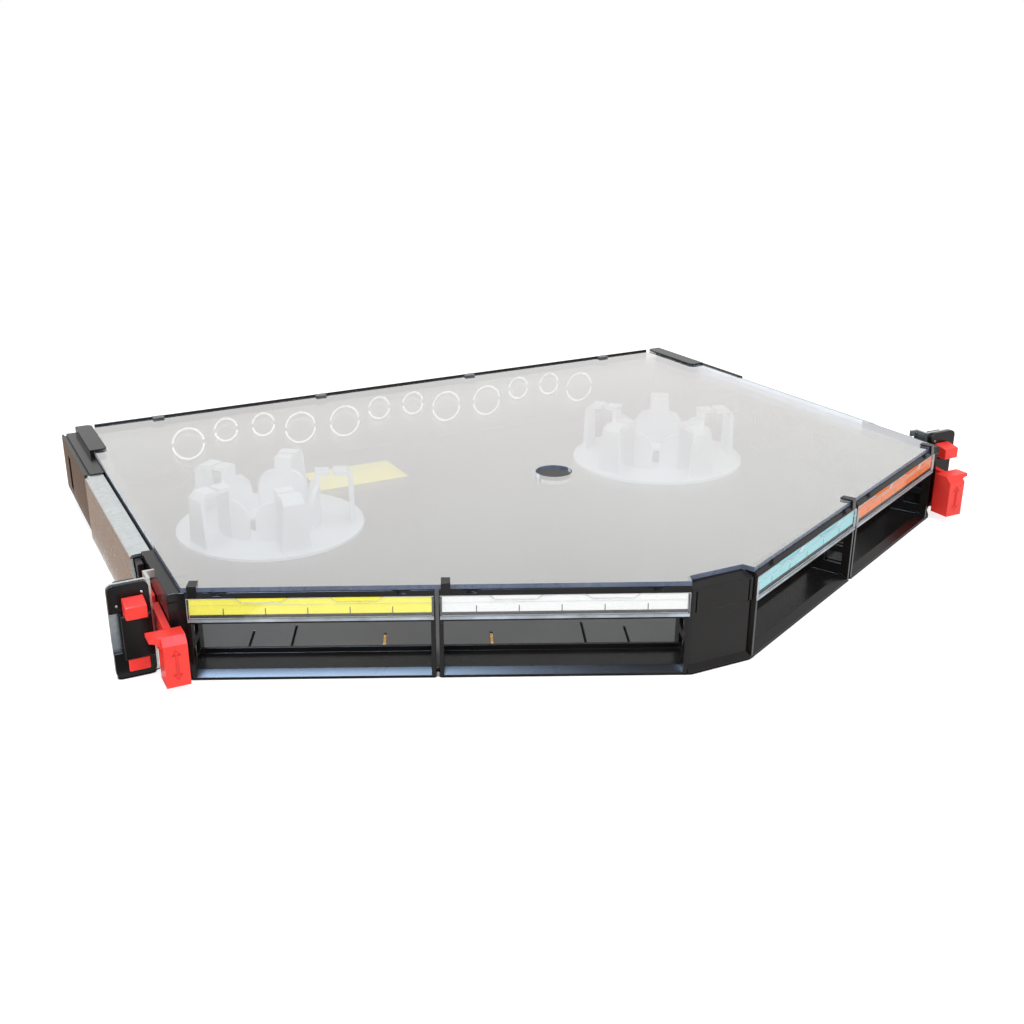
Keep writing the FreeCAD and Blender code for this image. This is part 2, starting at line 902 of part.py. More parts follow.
def guide_block():
    """Right rear guide: outer wall and top round the runner, and the lip over the cover's edge."""
    step_in = tray_half + guide_play
    lip_base = cover_top + guide_play
    ceiling = rail_top - rail_sheet
    outer = [
        (web_in, guide_base),
        (web_out, guide_base),
        (web_out, guide_top),
        (step_in, guide_top),
        (step_in, ceiling),
        (web_in, ceiling),
    ]
    step = [
        (step_in, ceiling),
        (step_in + guide_riser, ceiling),
        (step_in + guide_riser, guide_step_top),
        (step_in - guide_step_reach, guide_step_top),
        (step_in - guide_step_reach, lip_base),
        (step_in, lip_base),
    ]
    tongue_in = web_in - guide_tongue_wall
    tongue = block(tongue_in, web_in, rail_end - guide_tongue, rail_end, guide_tongue_low, guide_tongue_high)
    root = block(tongue_in, web_out, rail_end, rail_end + guide_tongue, guide_tongue_low, guide_tongue_high)
    slot_rear = overall_depth - guide_slot_setback
    slot_front_y = slot_rear - guide_slot_length
    slot_low = guide_base + guide_slot_margin
    slot_high = ceiling - guide_slot_margin
    slot = block(web_in, web_out, slot_front_y, slot_rear, slot_low, slot_high)
    groove_x = web_out - guide_rim - guide_groove
    groove_base = guide_top - guide_groove_depth
    groove = block(groove_x, groove_x + guide_groove, rail_end, overall_depth, groove_base, guide_top)
    shell = along_y(outer, rail_end, overall_depth)
    upright = [edge for edge in shell.Edges if edge.BoundBox.ZLength > guide_top / 2]
    rear_corner = [edge for edge in upright if edge.BoundBox.XMin > web_in and edge.BoundBox.YMin > rail_end]
    shell = shell.makeFillet(guide_corner, rear_corner)
    lip = along_y(step, overall_depth - guide_step_length, overall_depth)
    tip = [edge for edge in lip.Edges if edge.BoundBox.XMax < step_in - guide_step_reach / 2]
    lip = lip.makeChamfer(guide_step_corner, [edge for edge in tip if edge.BoundBox.YLength < guide_play])
    return join(shell, lip, tongue, root).cut([slot, groove])


def clip_housing():
    """Right black plate on the rack flange, with the strap over the slider and pegs for the rack holes."""
    inner = web_out + housing_inset
    front = flange_y - housing_plate
    face = rounded(inner, rack_half, front, flange_y, 0, unit_height, housing_corner)
    notch_in = rack_half - housing_notch
    notch = block(notch_in, rack_half, front, flange_y, housing_notch_low, housing_notch_high)
    strap_right = rack_half - strap_outset
    strap = block(inner + strap_inset, strap_right, front - strap_height, front, strap_low, strap_high)
    strap = strap.makeChamfer(strap_bevel, [edge for edge in strap.Edges if edge.BoundBox.YMax < front])
    tunnel_front = front - strap_height + strap_wall
    half = clip_width / 2 + clip_play
    tunnel = block(clip_x - half, clip_x + half, tunnel_front, front, strap_low, strap_high)
    pegs = []
    for x0, x1, z0, z1 in rack_hole_spaces(peg_size):
        peg = block(x0, x1, front, flange_y + peg_reach, z0, z1)
        tip = [edge for edge in peg.Edges if edge.BoundBox.YMin > flange_y]
        pegs.append(peg.makeChamfer(peg_bevel, tip))
    return join(face.cut(notch), strap.cut(tunnel), *pegs)


def clip():
    """Right red slider: a flat neck behind the strap and a wedge head above it."""
    back = flange_y - housing_plate - clip_play
    half = clip_width / 2
    head_front = back - clip_head_front
    head_low = strap_high + clip_play
    neck = block(clip_x - half, clip_x + half, back - clip_neck, back, clip_low, clip_high)
    wedge = [
        (back, head_low),
        (head_front, head_low),
        (head_front, clip_high - clip_head_slope),
        (back - clip_neck, clip_high),
        (back, clip_high),
    ]
    return join(neck, along_x(wedge, clip_x - half, clip_x + half))


def save(name, shape):
    placed = shape.copy()
    placed.translate(Vector(0, -overall_depth / 2, 0))
    placed.exportStep("parts/%s.step" % name)


def save_pair(name, right):
    save("right_" + name, right)
    save("left_" + name, mirrored(right))


def save_bays():
    """Bays, labels and label covers, numbered from left to right."""
    makers = {"bay_frame": bay_frame, "label": label, "label_cover": label_cover}
    for name, maker in makers.items():
        one = maker()
        for number in range(bays_per_side):
            moved = one.copy()
            moved.translate(Vector(bay_gap + number * bay_pitch, 0, 0))
            right = on_facet(moved)
            save("%s_%d" % (name, bays_per_side + 1 + number), right)
            save("%s_%d" % (name, bays_per_side - number), mirrored(right))


os.makedirs("parts", exist_ok=True)
save("tray", tray())
save("nose_cover", nose_cover())
save("top_cover", top_cover())
save("sticker", sticker())
save("floor_inserts", floor_inserts())
save_bays()
save_pair("end_cap", end_cap())
save("right_spool", spool(spool_from_right))
save("left_spool", mirrored(spool(spool_from_left)))
save_pair("runner", runner())
save_pair("latch", latch())
save_pair("latch_pin", latch_pin())
save_pair("rail", rail())
save_pair("guide_block", guide_block())
save_pair("clip_housing", clip_housing())
save_pair("clip", clip())
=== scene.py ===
import json
from math import cos, radians, sin

import bpy
from mathutils import Matrix, Vector


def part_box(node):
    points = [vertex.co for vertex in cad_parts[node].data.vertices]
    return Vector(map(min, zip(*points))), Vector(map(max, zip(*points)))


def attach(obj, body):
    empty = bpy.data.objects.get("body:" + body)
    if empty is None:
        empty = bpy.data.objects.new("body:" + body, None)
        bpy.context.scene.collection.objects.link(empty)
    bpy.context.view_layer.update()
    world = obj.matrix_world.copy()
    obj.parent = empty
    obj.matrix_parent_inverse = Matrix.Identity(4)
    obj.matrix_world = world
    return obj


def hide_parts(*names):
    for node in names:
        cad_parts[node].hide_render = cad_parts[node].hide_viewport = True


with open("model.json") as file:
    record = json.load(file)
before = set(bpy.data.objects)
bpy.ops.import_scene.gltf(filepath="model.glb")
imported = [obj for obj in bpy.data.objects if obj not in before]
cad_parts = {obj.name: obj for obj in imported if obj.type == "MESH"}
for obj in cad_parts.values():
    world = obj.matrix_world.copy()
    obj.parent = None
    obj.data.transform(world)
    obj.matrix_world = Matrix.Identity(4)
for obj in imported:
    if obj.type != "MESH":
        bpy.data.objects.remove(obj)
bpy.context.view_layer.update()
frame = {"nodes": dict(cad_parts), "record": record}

# Rails: the two fixed rails that the drawer slides in, each folded from one galvanised sheet into a
# channel, a forward web and the rack flange. Cut edges are only deburred, and the zinc shows spangle.
rail_edge = 0.0002
edge_segments = 2
usual_crease = 26.0
merge_gap = 0.000002
flat_angle = 1.0
zinc_shades = ((0.53, 0.545, 0.52), (0.60, 0.615, 0.585))
zinc_gloss = (0.26, 0.36)
zinc_grain = (300.0, 0.00003, 0.06)
spangles_per_metre = 420.0
usual_spread = (0.3, 0.7)
full_spread = (0.0, 1.0)

body_of_node = {
    node: body for body, nodes in frame["record"]["behaviour"]["bodies"].items() for node in nodes
}


def pick(piece):
    bpy.ops.object.select_all(action="DESELECT")
    piece.select_set(True)
    bpy.context.view_layer.objects.active = piece


def merged_copy(node, name):
    """A copy of a node's mesh, merged to whole flat faces."""
    mesh = frame["nodes"][node].data.copy()
    mesh.materials.clear()
    piece = bpy.data.objects.new(name, mesh)
    bpy.context.collection.objects.link(piece)
    pick(piece)
    bpy.ops.mesh.customdata_custom_splitnormals_clear()
    bpy.ops.object.mode_set(mode="EDIT")
    bpy.ops.mesh.select_all(action="SELECT")
    bpy.ops.mesh.remove_doubles(threshold=merge_gap)
    bpy.ops.mesh.dissolve_limited(angle_limit=radians(flat_angle))
    bpy.ops.object.mode_set(mode="OBJECT")
    bpy.ops.object.shade_flat()
    return piece


def rounded_copy(node, radius, crease):
    """A copy of a node with its edges rounded, where its faces meet more sharply than the crease."""
    piece = merged_copy(node, node + "_rounded")
    bpy.ops.object.shade_smooth_by_angle(angle=radians(crease))
    edges = piece.modifiers.new("rounded_edges", "BEVEL")
    edges.width = radius
    edges.segments = edge_segments
    edges.limit_method = "ANGLE"
    edges.angle_limit = radians(crease)
    edges.use_clamp_overlap = True
    bpy.ops.object.modifier_apply(modifier=edges.name)
    flats = piece.modifiers.new("flat_faces", "WEIGHTED_NORMAL")
    flats.keep_sharp = True
    bpy.ops.object.modifier_apply(modifier=flats.name)
    return piece


def stand_in(piece, node):
    """Puts a piece in a node's stead, on the node's own body."""
    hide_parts(node)
    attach(piece, body_of_node[node])


def dress(node, finish, radius, crease=usual_crease):
    """Puts a rounded copy with the given finish in a node's stead."""
    piece = rounded_copy(node, radius, crease)
    piece.data.materials.append(finish)
    stand_in(piece, node)


def new_finish(name, colour, roughness, metallic=0.0):
    material = bpy.data.materials.new(name)
    material.use_nodes = True
    tree = material.node_tree
    shader = tree.nodes["Principled BSDF"]
    shader.inputs["Base Color"].default_value = (*colour, 1.0)
    shader.inputs["Roughness"].default_value = roughness
    shader.inputs["Metallic"].default_value = metallic
    return material, tree, shader


def noise(tree, scale, detail):
    """Even mottling in the piece's own place, from 0 to 1."""
    place = tree.nodes.new("ShaderNodeTexCoord")
    texture = tree.nodes.new("ShaderNodeTexNoise")
    texture.inputs["Scale"].default_value = scale
    texture.inputs["Detail"].default_value = detail
    tree.links.new(place.outputs["Object"], texture.inputs["Vector"])
    return texture.outputs["Fac"]


def between(tree, value, low, high, socket, spread=usual_spread):
    """Feeds a socket with numbers from low to high, as value crosses the spread."""
    step = tree.nodes.new("ShaderNodeMapRange")
    step.inputs["From Min"].default_value = spread[0]
    step.inputs["From Max"].default_value = spread[1]
    step.inputs["To Min"].default_value = low
    step.inputs["To Max"].default_value = high
    tree.links.new(value, step.inputs["Value"])
    tree.links.new(step.outputs["Result"], socket)


def tinted(tree, value, dark, light, socket, spread=usual_spread):
    """Feeds a colour socket with colours from dark to light, as value crosses the spread."""
    ramp = tree.nodes.new("ShaderNodeValToRGB")
    for stop, position, colour in zip(ramp.color_ramp.elements, spread, (dark, light)):
        stop.position = position
        stop.color = (*colour, 1.0)
    tree.links.new(value, ramp.inputs["Fac"])
    tree.links.new(ramp.outputs["Color"], socket)


def grain(tree, shader, scale, depth, strength, detail=2.0):
    """Fine relief of the given depth in metres."""
    bump = tree.nodes.new("ShaderNodeBump")
    bump.inputs["Strength"].default_value = strength
    bump.inputs["Distance"].default_value = depth
    tree.links.new(noise(tree, scale, detail), bump.inputs["Height"])
    tree.links.new(bump.outputs["Normal"], shader.inputs["Normal"])


def galvanised_sheet():
    material, tree, shader = new_finish("galvanised_sheet", zinc_shades[1], zinc_gloss[1], metallic=1.0)
    place = tree.nodes.new("ShaderNodeTexCoord")
    spangle = tree.nodes.new("ShaderNodeTexVoronoi")
    spangle.inputs["Scale"].default_value = spangles_per_metre
    tree.links.new(place.outputs["Object"], spangle.inputs["Vector"])
    crystal = tree.nodes.new("ShaderNodeSeparateColor")
    tree.links.new(spangle.outputs["Color"], crystal.inputs["Color"])
    tinted(tree, crystal.outputs["Red"], *zinc_shades, shader.inputs["Base Color"], full_spread)
    between(tree, crystal.outputs["Green"], *zinc_gloss, shader.inputs["Roughness"], full_spread)
    grain(tree, shader, *zinc_grain)
    return material


zinc = galvanised_sheet()
for side in ("left", "right"):
    dress(side + "_rail", zinc, rail_edge)

# Guide blocks: black mouldings that close the rear end of each rail, round the runner and over the
# edge of the cover. Their tongue is pressed inside the rail's web.
guide_edge = 0.0005
wide_spread = (0.2, 0.8)


def mottled(
    name, shades, clouds, gloss, smears, fine,
    metallic=0.0, shine=0.5, opacity=1.0, spread=usual_spread, smear_spread=usual_spread,
):
    """A finish that drifts between two shades and two roughnesses, under a fine grain.

    Clouds and smears are patches to the metre and their detail.
    Fine is the grain's scale, depth and strength.
    """
    material, tree, shader = new_finish(name, shades[1], gloss[1], metallic)
    shader.inputs["Specular IOR Level"].default_value = shine
    shader.inputs["Alpha"].default_value = opacity
    tinted(tree, noise(tree, *clouds), *shades, shader.inputs["Base Color"], spread)
    between(tree, noise(tree, *smears), *gloss, shader.inputs["Roughness"], smear_spread)
    grain(tree, shader, *fine)
    return material


satin_black = mottled(
    "black_moulding",
    shades=((0.0060, 0.0050, 0.0046), (0.0100, 0.0086, 0.0080)),
    clouds=(45.0, 5.0),
    gloss=(0.22, 0.25),
    smears=(120.0, 4.0),
    fine=(3200.0, 0.00001, 0.05),
    shine=0.23,
    smear_spread=wide_spread,
)
for side in ("left", "right"):
    dress(side + "_guide_block", satin_black, guide_edge)

# Clip housings: black plates on the rack flanges, with a raised strap over the red slider. Two small
# bright pins beside the slider's head hold each plate to the flange.
housing_edge = 0.0004
slider_gap = 0.0003
pin_radius = 0.0006
pin_proud = 0.0002
pin_places = ((0.0032, 0.0392), (0.0145, 0.0344))
pin_facets = 20
dome_segments = 3
round_crease = 40.0


def pins(side, places):
    """Round heads on the plate, given by their way out from the inner edge and their height."""
    low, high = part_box(side + "_clip_housing")
    outward = -1.0 if side == "left" else 1.0
    inner = high.x if side == "left" else low.x
    plate_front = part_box(side + "_clip")[1].y + slider_gap
    heads = []
    for reach, height in places:
        bpy.ops.object.select_all(action="DESELECT")
        bpy.ops.mesh.primitive_cylinder_add(
            vertices=pin_facets,
            radius=pin_radius,
            depth=3 * pin_proud,
            location=(inner + outward * reach, plate_front + pin_proud / 2, height),
            rotation=(radians(90), 0.0, 0.0),
        )
        heads.append(bpy.context.active_object)
    for head in heads:
        head.select_set(True)
    bpy.ops.object.join()
    piece = bpy.context.active_object
    piece.name = side + "_housing_pins"
    bpy.ops.object.transform_apply(location=True, rotation=True, scale=True)
    dome = piece.modifiers.new("domed_heads", "BEVEL")
    dome.width = pin_proud
    dome.segments = dome_segments
    dome.limit_method = "ANGLE"
    bpy.ops.object.modifier_apply(modifier=dome.name)
    bpy.ops.object.shade_smooth_by_angle(angle=radians(round_crease))
    piece.data.materials.append(zinc)
    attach(piece, "rails")


for side in ("left", "right"):
    dress(side + "_clip_housing", satin_black, housing_edge)
    pins(side, pin_places)

# Clips: red sliders behind the housing's strap, lifted by the wedge head to free the rack hooks.
# Each is moulded in one piece.
clip_edge = 0.0004
bright_red = ((0.90, 0.042, 0.031), (0.97, 0.060, 0.044))


def red_moulding(name, shades):
    return mottled(
        name,
        shades=shades,
        clouds=(60.0, 4.0),
        gloss=(0.26, 0.40),
        smears=(150.0, 5.0),
        fine=(2600.0, 0.00001, 0.08),
        shine=0.36,
    )


signal_red = red_moulding("red_moulding", bright_red)
for side in ("left", "right"):
    dress(side + "_clip", signal_red, clip_edge)

# Tray: the drawer's body, one sheet of steel folded up at the sides and rear, powder coated black.
# A thin rim stands on the rear wall, behind the edge of the cover.
tray_edge = 0.0002
rim_thickness = 0.0009
rim_proud = 0.0011
rim_end_gap = 0.0090
rim_setback = 0.0001
rim_sunk = 0.0010
rim_edge = 0.00035
rim_segments = 3
coated_steel = mottled(
    "black_powder_coat",
    shades=((0.085, 0.083, 0.080), (0.095, 0.093, 0.090)),
    clouds=(9.0, 2.0),
    gloss=(0.27, 0.30),
    smears=(40.0, 2.0),
    fine=(1100.0, 0.00001, 0.04),
    spread=wide_spread,
    smear_spread=wide_spread,
)


def rear_rim():
    """The rim along the rear wall, clear of the guide blocks at both ends."""
    low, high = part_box("tray")
    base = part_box("top_cover")[0].z - rim_sunk
    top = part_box("top_cover")[1].z + rim_proud
    middle = (0.0, high.y - rim_setback - rim_thickness / 2, (base + top) / 2)
    bpy.ops.object.select_all(action="DESELECT")
    bpy.ops.mesh.primitive_cube_add(size=1.0, location=middle)
    rim = bpy.context.active_object
    rim.name = "tray_rear_rim"
    rim.scale = (high.x - low.x - 2 * rim_end_gap, rim_thickness, top - base)
    bpy.ops.object.transform_apply(location=True, rotation=True, scale=True)
    edges = rim.modifiers.new("rounded_edges", "BEVEL")
    edges.width = rim_edge
    edges.segments = rim_segments
    bpy.ops.object.modifier_apply(modifier=edges.name)
    bpy.ops.object.shade_smooth_by_angle(angle=radians(round_crease))
    rim.data.materials.append(satin_black)
    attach(rim, "drawer")


dress("tray", coated_steel, tray_edge)
rear_rim()

# Floor inserts: four small brass pieces pressed into the short slots of the tray floor.
# They show as warm flecks behind the bays.
insert_edge = 0.00015
bright_brass = mottled(
    "bright_brass",
    shades=((0.55, 0.27, 0.07), (0.83, 0.50, 0.18)),
    clouds=(400.0, 4.0),
    gloss=(0.24, 0.42),
    smears=(700.0, 3.0),
    fine=(2500.0, 0.00002, 0.2),
    metallic=1.0,
)
dress("floor_inserts", bright_brass, insert_edge)

# Spools: two white mouldings that hold slack fibre, snapped into the tray floor. Hooked fingers and
# posts face each other across the groove, and notches in the drum let fibre cross.
spool_edge = 0.0009
spool_crease = 40.0
milk_white = mottled(
    "white_moulding",
    shades=((0.66, 0.69, 0.73), (0.74, 0.77, 0.81)),
    clouds=(40.0, 4.0),
    gloss=(0.36, 0.50),
    smears=(160.0, 4.0),
    fine=(2200.0, 0.00002, 0.15),
)
for side in ("left", "right"):
    dress(side + "_spool", milk_white, spool_edge, spool_crease)

# Sticker: a blank yellow sticker on the tray floor under the cover.
# It is vinyl, with slightly uneven ink.
sticker_edge = 0.00005
yellow_vinyl = mottled(
    "yellow_vinyl",
    shades=((0.92, 0.78, 0.02), (0.98, 0.88, 0.04)),
    clouds=(70.0, 5.0),
    gloss=(0.38, 0.55),
    smears=(300.0, 3.0),
    fine=(1500.0, 0.00002, 0.15),
)
dress("sticker", yellow_vinyl, sticker_edge)

# Runners: black channels snapped to the tray's sides, which slide inside the rails.
# They stay hidden while the drawer is closed.
runner_edge = 0.0003
for side in ("left", "right"):
    dress(side + "_runner", satin_black, runner_edge)

# End caps: black mouldings at both ends of the V, each with a flat cheek and the side that carries
# the latch. They are clipped to the tray's front corners.
cap_edge = 0.0004
for side in ("left", "right"):
    dress(side + "_end_cap", satin_black, cap_edge)

# Latches: red levers on steel pins in the end caps, pressed to free the drawer. The pad has a thumb
# lip, and a raised two-way arrow on its front face, drawn in a darker red as painted shade in its lines.
latch_edge = 0.0007
latch_pin_edge = 0.0002
pad_width = 0.0105
arrow_length = 0.0138
arrow_middle = 0.0142
arrow_shaft = 0.0013
arrow_head_width = 0.0039
arrow_head_length = 0.0023
arrow_barb = 0.0003
arrow_tip = 0.0003
arrow_line = 0.00042
arrow_proud = 0.00022
# Painted shade: the arrow's darker red stands in for the shade along its raised lines.
arrow_shade_reds = ((0.72, 0.026, 0.020), (0.79, 0.036, 0.028))
arrow_painted_shade = red_moulding("arrow_shade_moulding", arrow_shade_reds)


def arrow(side):
    """The raised outline of a two-way arrow on the pad's front face."""
    low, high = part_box(side + "_latch")
    middle = high.x - pad_width / 2 if side == "left" else low.x + pad_width / 2
    shaft_length = arrow_length - 2 * (arrow_head_length - arrow_barb)
    barbs = (-arrow_barb, arrow_head_width / arrow_shaft)
    point = (arrow_head_length, arrow_tip / arrow_head_width)
    bpy.ops.object.select_all(action="DESELECT")
    bpy.ops.mesh.primitive_plane_add(
        size=1.0, location=(middle, low.y + arrow_proud, arrow_middle), rotation=(radians(90), 0.0, 0.0)
    )
    outline = bpy.context.active_object
    outline.name = side + "_latch_arrow"
    outline.scale = (arrow_shaft, shaft_length, 1.0)
    bpy.ops.object.transform_apply(location=True, rotation=True, scale=True)
    bpy.ops.object.mode_set(mode="EDIT")
    bpy.ops.mesh.select_mode(type="EDGE")
    for way in (-1.0, 1.0):
        bpy.ops.mesh.select_all(action="DESELECT")
        bpy.ops.object.mode_set(mode="OBJECT")
        end = arrow_middle + way * shaft_length / 2
        for edge in outline.data.edges:
            ends = [outline.data.vertices[index].co.z for index in edge.vertices]
            edge.select = all(abs(height - end) < arrow_barb / 2 for height in ends)
        bpy.ops.object.mode_set(mode="EDIT")
        for rise, widening in (barbs, point):
            bpy.ops.mesh.extrude_region_move(TRANSFORM_OT_translate={"value": (0.0, 0.0, way * rise)})
            bpy.ops.transform.resize(value=(widening, 1.0, 1.0), center_override=(middle, 0.0, 0.0))
    bpy.ops.mesh.select_mode(type="FACE")
    bpy.ops.mesh.select_all(action="SELECT")
    bpy.ops.mesh.normals_make_consistent(inside=False)
    bpy.ops.mesh.inset(thickness=arrow_line, depth=0.0)
    bpy.ops.mesh.delete(type="FACE")
    bpy.ops.mesh.select_all(action="SELECT")
    bpy.ops.mesh.extrude_region_move(TRANSFORM_OT_translate={"value": (0.0, -2 * arrow_proud, 0.0)})
    bpy.ops.mesh.select_all(action="SELECT")
    bpy.ops.mesh.normals_make_consistent(inside=False)
    bpy.ops.object.mode_set(mode="OBJECT")
    # The arrow's darker red is painted shade.
    outline.data.materials.append(arrow_painted_shade)
    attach(outline, side + "_latch")


for side in ("left", "right"):
    dress(side + "_latch_pin", zinc, latch_pin_edge)
    dress(side + "_latch", signal_red, latch_edge)
    arrow(side)

# Nose cover: the black moulding at the point of the V, mitred to both facets.
# It snaps between the two inner bays.
nose_edge = 0.0004
dress("nose_cover", satin_black, nose_edge)

# Bay frames: four black mouldings along the facets, each with a lip, a label pocket, a sill and two
# windowed sides round an open bay.
bay_edge = 0.0003
bay_count = 4
for number in range(1, bay_count + 1):
    dress("bay_frame_%d" % number, satin_black, bay_edge)

# Labels: coloured paper strips in the pockets over the bays, with five printed ticks on each.
# The paper shows a little fibre.
paper_edge = 0.00003
paper_colours = ((0.97, 0.89, 0.07), (0.92, 0.92, 0.92), (0.37, 0.78, 0.85), (1.0, 0.22, 0.022))
paper_shade = 0.93
paper_gloss = (0.55, 0.75)
paper_fibre = (900.0, 5.0)
paper_grain = (2600.0, 0.00002, 0.2, 3.0)
facet_turn = radians(25.0)
tick_count = 5
tick_pitch = 0.0181
tick_width = 0.00042
tick_height = 0.0029
tick_shift = -0.0010
tick_ink = (0.03, 0.03, 0.035)


def calculate(tree, operation, first, second=0.0):
    step = tree.nodes.new("ShaderNodeMath")
    step.operation = operation
    for socket, value in zip(step.inputs, (first, second)):
        if isinstance(value, float):
            socket.default_value = value
        else:
            tree.links.new(value, socket)
    return step.outputs[0]


def ticked_paper(number, colour):
    low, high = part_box("label_%d" % number)
    turn = facet_turn if number <= bay_count / 2 else -facet_turn
    foot = (low + high) / 2
    foot.z = low.z
    material, tree, shader = new_finish("label_paper_%d" % number, colour, paper_gloss[1])
    place = tree.nodes.new("ShaderNodeTexCoord")
    facet = tree.nodes.new("ShaderNodeMapping")
    facet.inputs["Rotation"].default_value = (0.0, 0.0, turn)
    facet.inputs["Location"].default_value = -(Matrix.Rotation(turn, 3, "Z") @ foot)
    tree.links.new(place.outputs["Object"], facet.inputs["Vector"])
    axes = tree.nodes.new("ShaderNodeSeparateXYZ")
    tree.links.new(facet.outputs["Vector"], axes.inputs["Vector"])
    along = calculate(tree, "ABSOLUTE", calculate(tree, "SUBTRACT", axes.outputs["X"], tick_shift))
    nearest = calculate(tree, "PINGPONG", along, tick_pitch / 2)
    on_line = calculate(tree, "LESS_THAN", nearest, tick_width / 2)
    in_reach = calculate(tree, "LESS_THAN", along, tick_pitch * tick_count / 2)
    at_foot = calculate(tree, "LESS_THAN", axes.outputs["Z"], tick_height)
    ink = calculate(tree, "MULTIPLY", calculate(tree, "MULTIPLY", on_line, in_reach), at_foot)
    fibre = noise(tree, *paper_fibre)
    paper = tree.nodes.new("ShaderNodeMix")
    paper.data_type = "RGBA"
    paper.inputs["B"].default_value = (*tick_ink, 1.0)
    shade = tuple(paper_shade * channel for channel in colour)
    tinted(tree, fibre, shade, colour, paper.inputs["A"])
    tree.links.new(ink, paper.inputs["Factor"])
    tree.links.new(paper.outputs["Result"], shader.inputs["Base Color"])
    between(tree, fibre, *paper_gloss, shader.inputs["Roughness"])
    grain(tree, shader, *paper_grain)
    return material


for number, colour in enumerate(paper_colours, 1):
    dress("label_%d" % number, ticked_paper(number, colour), paper_edge)

# Label covers: clear strips with a raised rim, a broader foot and two finger notches, snapped into the
# pockets. The moulded edges are painted pale, a painted highlight, and the foot is painted a cool
# blue, a painted reflection, mottled darker.
strip_foot = 0.0011
hair = 0.00006
square_on = 0.9
sheet_milk = (0.9, 0.9, 0.9)
milk_clouds = (12.0, 4.0)
milk_spread = (0.7, 1.3)
gleam_clouds = (3.5, 3.0)
sheet_roughness = 0.05
head_on_mirror = 0.04


def clear_sheet(name, colour, haze, mirror, falloff, gleam):
    """See-through plastic: clear face on, with a gloss that grows to the grazing angle."""
    material = bpy.data.materials.new(name)
    material.use_nodes = True
    tree = material.node_tree
    tree.nodes.clear()
    output = tree.nodes.new("ShaderNodeOutputMaterial")
    through = tree.nodes.new("ShaderNodeBsdfTransparent")
    through.inputs["Color"].default_value = (*colour, 1.0)
    milk = tree.nodes.new("ShaderNodeBsdfDiffuse")
    milk.inputs["Color"].default_value = (*sheet_milk, 1.0)
    body = tree.nodes.new("ShaderNodeMixShader")
    least, most = (share * haze for share in milk_spread)
    between(tree, noise(tree, *milk_clouds), least, most, body.inputs["Fac"])
    tree.links.new(through.outputs["BSDF"], body.inputs[1])
    tree.links.new(milk.outputs["BSDF"], body.inputs[2])
    gloss = tree.nodes.new("ShaderNodeBsdfGlossy")
    tinted(tree, noise(tree, *gleam_clouds), *gleam, gloss.inputs["Color"])
    gloss.inputs["Roughness"].default_value = sheet_roughness
    facing = tree.nodes.new("ShaderNodeLayerWeight")
    grazing = calculate(tree, "POWER", facing.outputs["Facing"], falloff)
    polish = tree.nodes.new("ShaderNodeMixShader")
    between(tree, grazing, head_on_mirror, mirror, polish.inputs["Fac"], full_spread)
    tree.links.new(body.outputs["Shader"], polish.inputs[1])
    tree.links.new(gloss.outputs["BSDF"], polish.inputs[2])
    rays = tree.nodes.new("ShaderNodeLightPath")
    shadow = tree.nodes.new("ShaderNodeMixShader")
    tree.links.new(rays.outputs["Is Shadow Ray"], shadow.inputs["Fac"])
    tree.links.new(polish.outputs["Shader"], shadow.inputs[1])
    tree.links.new(through.outputs["BSDF"], shadow.inputs[2])
    tree.links.new(shadow.outputs["Shader"], output.inputs["Surface"])
    return material


def edge_tone_plastic(name, shades, opacity, patches):
    """A cut or moulded edge of clear plastic that lets little through, in a flat tone that paints the
    highlights and reflections its edges catch.
    """
    return mottled(
        name,
        shades=shades,
        clouds=(patches, 3.0),
        gloss=(0.22, 0.38),
        smears=(300.0, 3.0),
        fine=(1800.0, 0.00002, 0.15),
        opacity=opacity,
    )


def draw_in(piece, looking):
    """Draws in the faces that look one way, which leaves a hair of air before what they touch."""
    bpy.ops.object.mode_set(mode="EDIT")
    bpy.ops.mesh.select_mode(type="FACE")
    bpy.ops.mesh.select_all(action="DESELECT")
    bpy.ops.object.mode_set(mode="OBJECT")
    for face in piece.data.polygons:
        face.select = face.normal.dot(looking) > square_on
    bpy.ops.object.mode_set(mode="EDIT")
    bpy.ops.transform.translate(value=-hair * looking)
    bpy.ops.object.mode_set(mode="OBJECT")


def split(place, across):
    """Cuts the faces of the active piece along a plane."""
    bpy.ops.object.mode_set(mode="EDIT")
    bpy.ops.mesh.select_all(action="SELECT")
    bpy.ops.mesh.bisect(plane_co=place, plane_no=across)
    bpy.ops.object.mode_set(mode="OBJECT")


clear_strip = clear_sheet(
    "clear_label_strip",
    colour=(0.985, 0.99, 0.99),
    haze=0.02,
    mirror=0.05,
    falloff=4.0,
    gleam=((0.97, 0.97, 0.98), (1.0, 1.0, 1.0)),
)
# Painted highlight: the pale tone of the strips' rims and of the cover's side edges.
edge_highlight_tone = edge_tone_plastic(
    "pale_strip_edge_highlight", shades=((0.66, 0.69, 0.73), (0.86, 0.88, 0.90)), opacity=0.85, patches=60.0
)
